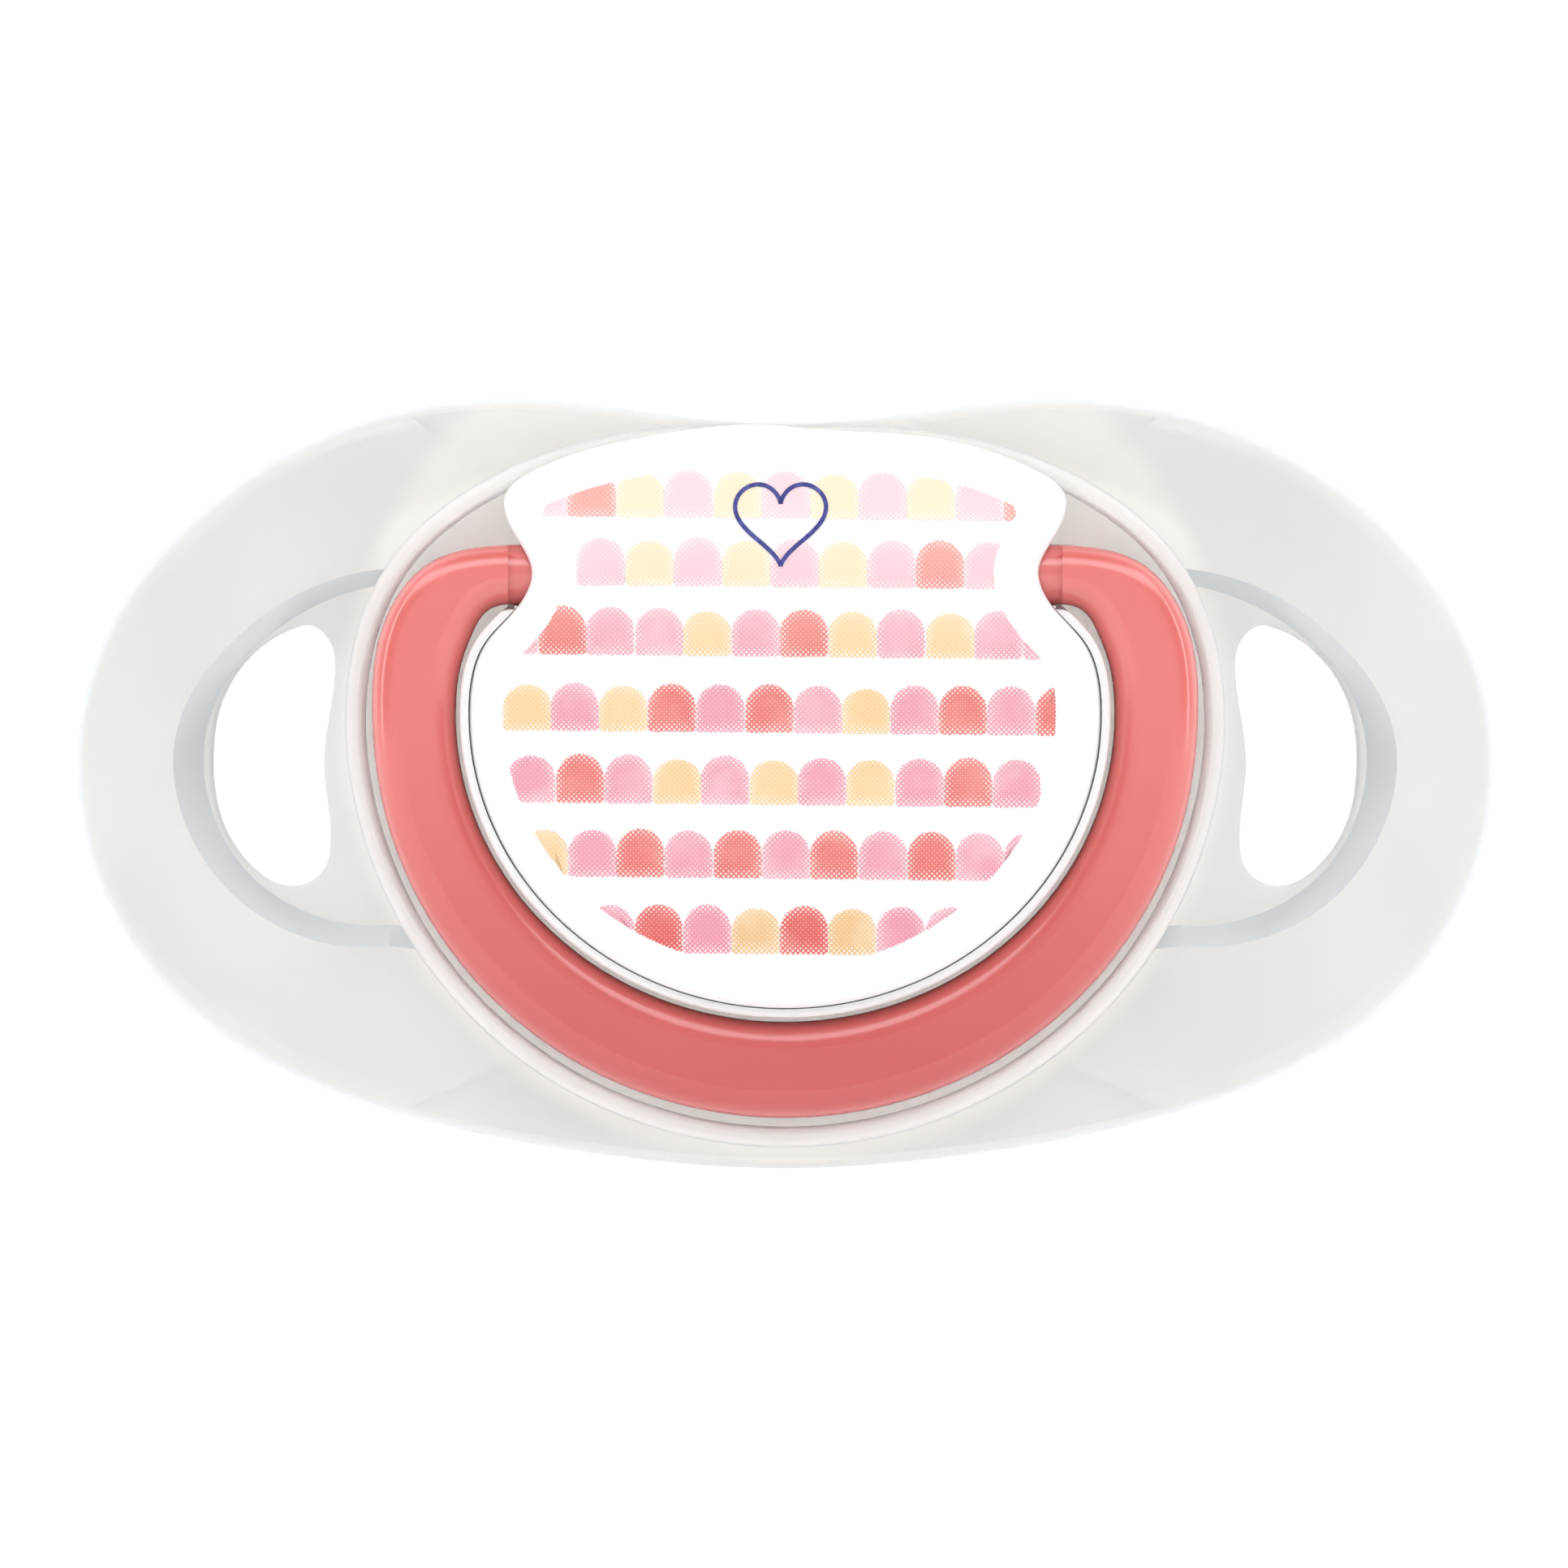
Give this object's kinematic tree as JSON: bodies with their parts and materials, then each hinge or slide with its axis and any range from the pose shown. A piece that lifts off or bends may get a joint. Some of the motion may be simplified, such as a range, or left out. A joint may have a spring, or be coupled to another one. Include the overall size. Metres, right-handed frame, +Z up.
{
  "type": "baby pacifier",
  "caption": "Pacifier with a curved translucent shield with two D-shaped vents, a hollow soft teat, a swinging ring handle and a flask-shaped printed cap.",
  "frame": {"origin": "on the teat's axis at the back face of the shield, where the lips rest", "axes": "+X across the shield, +Y along the teat into the mouth, +Z up towards the nose notch"},
  "size_m": [0.063, 0.0364, 0.034],
  "materials": {
    "shield_plastic": "milky translucent polypropylene, satin gloss",
    "teat_silicone": "clear silicone, slightly hazy",
    "plug_plastic": "natural polypropylene",
    "base_plastic": "clear polypropylene, glossy",
    "cap_plastic": "glossy white moulded plastic with a printed pattern",
    "ring_plastic": "glossy coral moulded plastic",
    "print_ink": "thin printed ink in pink, coral and yellow",
    "outline_ink": "thin navy printed line"
  },
  "bodies": {
    "pacifier": {"shield": "shield_plastic", "teat": "teat_silicone", "teat_plug": "plug_plastic", "knob_base": "base_plastic", "front_cap": "cap_plastic"},
    "ring": {"ring_handle": "ring_plastic"}
  },
  "joints": [
    {"name": "ring_hinge", "type": "hinge", "parent": "pacifier", "child": "ring", "pos_m": [0, -0.0046, 0.0083], "axis": [-1, 0, 0], "range_deg": [0, 100]}
  ]
}
